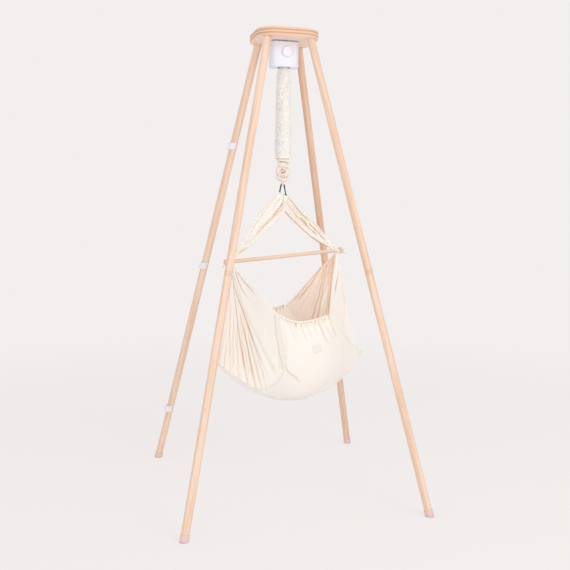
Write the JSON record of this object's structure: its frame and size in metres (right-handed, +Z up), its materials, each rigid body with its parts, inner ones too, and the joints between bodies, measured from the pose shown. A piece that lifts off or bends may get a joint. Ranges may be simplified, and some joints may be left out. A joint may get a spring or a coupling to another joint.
{
  "type": "motorised baby hammock with stand",
  "caption": "Cloth baby cradle with gathered ends on a spreader bar, hung by a carabiner and a sleeved spring from a motor lift under the board of a wooden stand.",
  "frame": {"origin": "on the floor, midway between the four feet", "axes": "+Z up; the control knob faces -Y; +X is the right side as seen by someone who faces the knob"},
  "size_m": [1.0024, 1.0026, 1.9116],
  "materials": {
    "beech": "oiled light beech",
    "plywood": "oiled birch plywood with bare edges",
    "rubber": "soft milky rubber",
    "webbing": "woven white tape",
    "white_plastic": "satin white moulding",
    "steel": "zinc plated",
    "dark_steel": "dark polished steel",
    "brass": "turned",
    "circuit": "green board",
    "black_plastic": "moulded",
    "cloth": "undyed cotton, plain weave",
    "sleeve_cloth": "greyish cream cotton tube",
    "foam": "cotton covered pad"
  },
  "bodies": {
    "stand": {"top_board": "plywood", "leg_lower_front_left": "beech", "leg_upper_front_left": "beech", "joint_stud_front_left": "steel", "foot_cap_front_left": "rubber", "leg_lower_front_right": "beech", "leg_upper_front_right": "beech", "joint_stud_front_right": "steel", "foot_cap_front_right": "rubber", "leg_lower_back_left": "beech", "leg_upper_back_left": "beech", "joint_stud_back_left": "steel", "foot_cap_back_left": "rubber", "leg_lower_back_right": "beech", "leg_upper_back_right": "beech", "joint_stud_back_right": "steel", "foot_cap_back_right": "rubber", "lead_strap_top": "webbing", "lead_strap_middle": "webbing", "lead_strap_bottom": "webbing", "mount_plate": "steel", "mount_screw_1": "steel", "mount_screw_2": "steel", "mount_screw_3": "steel", "mount_screw_4": "steel", "motor_tray": "white_plastic", "motor_cover": "white_plastic", "circuit_board": "circuit", "power_inlet": "black_plastic", "drive_bracket": "steel", "rod_bush": "brass", "gearbox": "steel", "drive_motor": "steel"},
    "knob": {"control_knob": "white_plastic"},
    "lift": {"lift_yoke": "steel"},
    "crank": {"crank": "steel"},
    "hanger": {"hanger_link": "steel"},
    "spring_unit": {"spring_plug_upper": "steel", "spring": "steel", "spring_sleeve": "sleeve_cloth"},
    "cradle": {"spring_plug_lower": "steel", "knotted_loop": "sleeve_cloth", "carabiner_body": "dark_steel", "gate_pin": "dark_steel", "strap_left": "cloth", "strap_right": "cloth", "bar_tie_left": "cloth", "bar_tie_right": "cloth", "spreader_bar": "beech", "end_fan_left": "cloth", "end_fan_right": "cloth", "pouch": "cloth", "mattress": "foam", "mouth_hem_front": "cloth", "mouth_hem_back": "cloth", "label_patch": "webbing"},
    "gate": {"carabiner_gate": "dark_steel"}
  },
  "joints": [
    {"name": "knob_turn", "type": "hinge", "parent": "stand", "child": "knob", "pos_m": [0.006, -0.0393, 1.834], "axis": [0, 1, 0], "range_deg": [-150, 150]},
    {"name": "lift_stroke", "type": "slide", "parent": "stand", "child": "lift", "axis": [0, 0, 1], "range_m": [-0.00536, 0.00536]},
    {"name": "crank_turn", "type": "hinge", "parent": "stand", "child": "crank", "pos_m": [0, 0.006, 1.842], "axis": [0, -1, 0], "range_deg": [-40, 40]},
    {"name": "swing_side", "type": "hinge", "parent": "lift", "child": "hanger", "pos_m": [0, 0, 1.786], "axis": [0, 1, 0], "range_deg": [-6, 6]},
    {"name": "swing_front", "type": "hinge", "parent": "hanger", "child": "spring_unit", "pos_m": [0, 0, 1.764], "axis": [1, 0, 0], "range_deg": [-6, 6]},
    {"name": "bounce", "type": "slide", "parent": "spring_unit", "child": "cradle", "axis": [0, 0, 1], "range_m": [-0.15, 0.02], "stiffness_N_per_m": 390, "springref_m": 0.04417, "deforming": ["spring", "spring_sleeve"]},
    {"name": "gate_open", "type": "hinge", "parent": "cradle", "child": "gate", "pos_m": [0.01532, 0.00354, 1.2532], "axis": [0.225, -0.9744, 0], "range_deg": [0, 20], "stiffness_Nm_per_rad": 0.06, "springref_deg": -20.05}
  ],
  "couplings": [
    {"joint": "crank_turn", "follows": "lift_stroke", "rad_per_m": 130.2}
  ]
}
